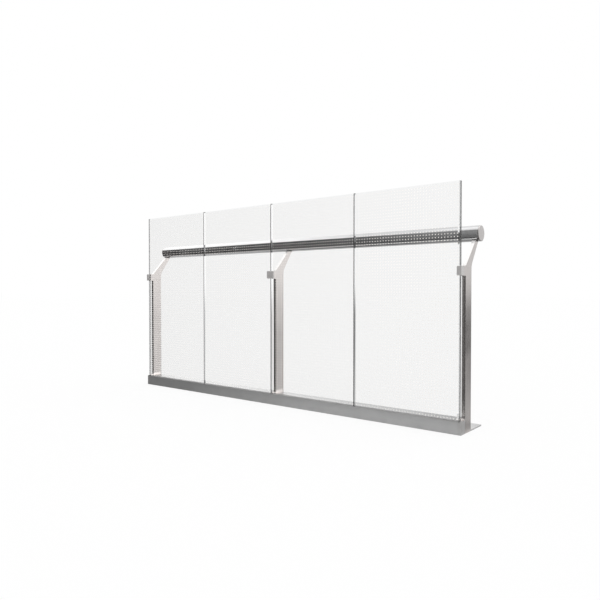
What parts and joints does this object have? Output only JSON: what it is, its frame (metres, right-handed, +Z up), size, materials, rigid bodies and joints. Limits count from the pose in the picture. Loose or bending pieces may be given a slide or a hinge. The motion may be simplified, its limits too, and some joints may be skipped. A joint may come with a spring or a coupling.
{
  "type": "glass railing",
  "caption": "Straight glass railing: clear panes with light points in a floor channel, flat posts clamped to the glass and swept arms carrying a round handrail.",
  "frame": {"origin": "on the flat underside of the foot, in the middle of its length and depth", "axes": "+X along the railing, +Y from the glass towards the handrail side, +Z up"},
  "size_m": [2.64, 0.28, 1.306],
  "materials": {
    "base": "satin",
    "post": "satin",
    "clamp": "satin",
    "saddle": "matte",
    "rail": "satin",
    "rail_cap": "satin",
    "trim": "matte",
    "glass": "clear",
    "seal": "matte",
    "gasket": "matte",
    "pad": "matte",
    "block": "matte"
  },
  "bodies": {
    "root": {"base_profile": "base", "end_block_left": "base", "end_block_right": "base", "front_gasket": "gasket", "rear_gasket": "gasket", "setting_block_1": "block", "setting_block_2": "block", "setting_block_3": "block", "setting_block_4": "block", "post_left": "post", "post_middle": "post", "post_right": "post", "clamp_plate_left": "clamp", "clamp_plate_middle": "clamp", "clamp_plate_right": "clamp", "front_pad_left": "pad", "front_pad_middle": "pad", "front_pad_right": "pad", "rear_pad_left": "pad", "rear_pad_middle": "pad", "rear_pad_right": "pad", "glass_pane_1": "glass", "glass_pane_2": "glass", "glass_pane_3": "glass", "glass_pane_4": "glass", "joint_seal_1": "seal", "joint_seal_2": "seal", "joint_seal_3": "seal", "edge_trim_left": "trim", "edge_trim_right": "trim", "handrail_tube": "rail", "rail_cap_left": "rail_cap", "rail_cap_right": "rail_cap", "saddle_left": "saddle", "saddle_middle": "saddle", "saddle_right": "saddle"}
  },
  "joints": []
}
